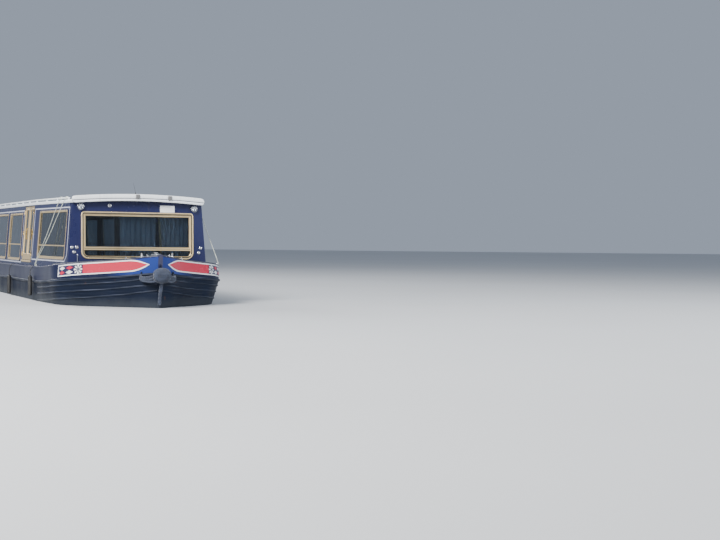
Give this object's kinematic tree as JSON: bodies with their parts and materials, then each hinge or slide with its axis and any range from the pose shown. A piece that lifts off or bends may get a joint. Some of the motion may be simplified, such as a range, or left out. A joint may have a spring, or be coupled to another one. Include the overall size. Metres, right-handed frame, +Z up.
{
  "type": "narrowboat",
  "caption": "Broad-beam canal trip boat in the narrowboat style: long windowed cabin, bluff bow, counter stern, rudder, propeller, doors and hatches.",
  "frame": {"origin": "middle of the underside of the base plate, half way along the boat over its fenders", "axes": "+X forward to the bow, +Y to port, +Z up; the waterline is 0.600 m up"},
  "size_m": [17.4, 3.592, 2.985],
  "materials": {
    "black_steel": "matt",
    "deck_paint": "matt",
    "bright_steel": "polished",
    "rope": "rough",
    "navy_paint": "gloss",
    "window_glass": "clear",
    "brass": "satin",
    "varnished_wood": "satin",
    "white_paint": "satin",
    "bronze": "satin",
    "engine_green": "satin",
    "rubber": "matt",
    "curtain_cloth": "soft"
  },
  "bodies": {
    "boat": {"aerial": "bright_steel", "aft_deck": "deck_paint", "bench_port": "varnished_wood", "bench_starboard": "varnished_wood", "bow_fender": "rope", "bow_stud": "bright_steel", "cabin_floor": "varnished_wood", "cabin_front": "navy_paint", "cabin_side_aft_port": "navy_paint", "cabin_side_aft_starboard": "navy_paint", "cabin_side_fore_port": "navy_paint", "cabin_side_fore_starboard": "navy_paint", "curtain_fore_port": "curtain_cloth", "curtain_fore_starboard": "curtain_cloth", "curtain_front": "curtain_cloth", "curtains_aft_port": "curtain_cloth", "curtains_aft_starboard": "curtain_cloth", "engine": "engine_green", "foredeck": "deck_paint", "front_glass": "window_glass", "front_window_frame": "brass", "headlamp_port": "bright_steel", "headlamp_starboard": "bright_steel", "hull_bottom": "black_steel", "hull_bow": "black_steel", "hull_counter": "black_steel", "hull_side_port": "black_steel", "hull_side_starboard": "black_steel", "rear_bulkhead": "navy_paint", "roof": "white_paint", "roof_rail_port": "white_paint", "roof_rail_starboard": "white_paint", "side_fender_aft_port": "rubber", "side_fender_aft_starboard": "rubber", "side_fender_fore_port": "rubber", "side_fender_fore_starboard": "rubber", "side_glass_aft_port": "window_glass", "side_glass_aft_starboard": "window_glass", "side_glass_fore_port": "window_glass", "side_glass_fore_starboard": "window_glass", "stem_post": "black_steel", "stern_dolly_port": "bright_steel", "stern_dolly_starboard": "bright_steel", "stern_fender": "rope", "stern_rail": "bright_steel"},
    "side_door_aft_starboard": {"side_door_aft_starboard": "brass"},
    "side_door_fore_starboard": {"side_door_fore_starboard": "brass"},
    "side_door_aft_port": {"side_door_aft_port": "brass"},
    "side_door_fore_port": {"side_door_fore_port": "brass"},
    "rear_door_starboard": {"rear_door_starboard": "varnished_wood"},
    "rear_door_port": {"rear_door_port": "varnished_wood"},
    "sliding_hatch": {"sliding_hatch": "navy_paint"},
    "foredeck_locker_lid": {"foredeck_locker_lid": "deck_paint"},
    "engine_hatch_lid": {"engine_hatch_lid": "deck_paint"},
    "rudder": {"rudder": "black_steel"},
    "propeller": {"propeller": "bronze"}
  },
  "joints": [
    {"name": "side_door_aft_starboard_hinge", "type": "hinge", "parent": "boat", "child": "side_door_aft_starboard", "pos_m": [2.8, -1.54564, 2.00059], "axis": [0, -0.0711, -0.9975], "range_deg": [0, 100]},
    {"name": "side_door_fore_starboard_hinge", "type": "hinge", "parent": "boat", "child": "side_door_fore_starboard", "pos_m": [3.88, -1.54564, 2.00059], "axis": [0, 0.0711, 0.9975], "range_deg": [0, 100]},
    {"name": "rear_door_starboard_hinge", "type": "hinge", "parent": "boat", "child": "rear_door_starboard", "pos_m": [-6.0786, -0.4, 1.9], "axis": [0, 0, 1], "range_deg": [0, 100]},
    {"name": "side_door_aft_port_hinge", "type": "hinge", "parent": "boat", "child": "side_door_aft_port", "pos_m": [2.8, 1.54564, 2.00059], "axis": [0, -0.0711, 0.9975], "range_deg": [0, 100]},
    {"name": "side_door_fore_port_hinge", "type": "hinge", "parent": "boat", "child": "side_door_fore_port", "pos_m": [3.88, 1.54564, 2.00059], "axis": [0, 0.0711, -0.9975], "range_deg": [0, 100]},
    {"name": "rear_door_port_hinge", "type": "hinge", "parent": "boat", "child": "rear_door_port", "pos_m": [-6.0786, 0.4, 1.9], "axis": [0, 0, -1], "range_deg": [0, 100]},
    {"name": "sliding_hatch_slide", "type": "slide", "parent": "boat", "child": "sliding_hatch", "axis": [1, 0, 0], "range_m": [0, 0.76]},
    {"name": "foredeck_locker_lid_hinge", "type": "hinge", "parent": "boat", "child": "foredeck_locker_lid", "pos_m": [7.17, 0, 1.4522], "axis": [0, -1, 0], "range_deg": [0, 100]},
    {"name": "engine_hatch_lid_hinge", "type": "hinge", "parent": "boat", "child": "engine_hatch_lid", "pos_m": [-6.6, 0, 1.3123], "axis": [0, 1, 0], "range_deg": [0, 85]},
    {"name": "rudder_hinge", "type": "hinge", "parent": "boat", "child": "rudder", "pos_m": [-7.85, 0, 0.9], "axis": [0, 0, 1], "range_deg": [-35, 35]},
    {"name": "propeller_spin", "type": "hinge", "parent": "boat", "child": "propeller", "pos_m": [-7.48, 0, 0.275], "axis": [1, 0, 0], "continuous": true}
  ]
}
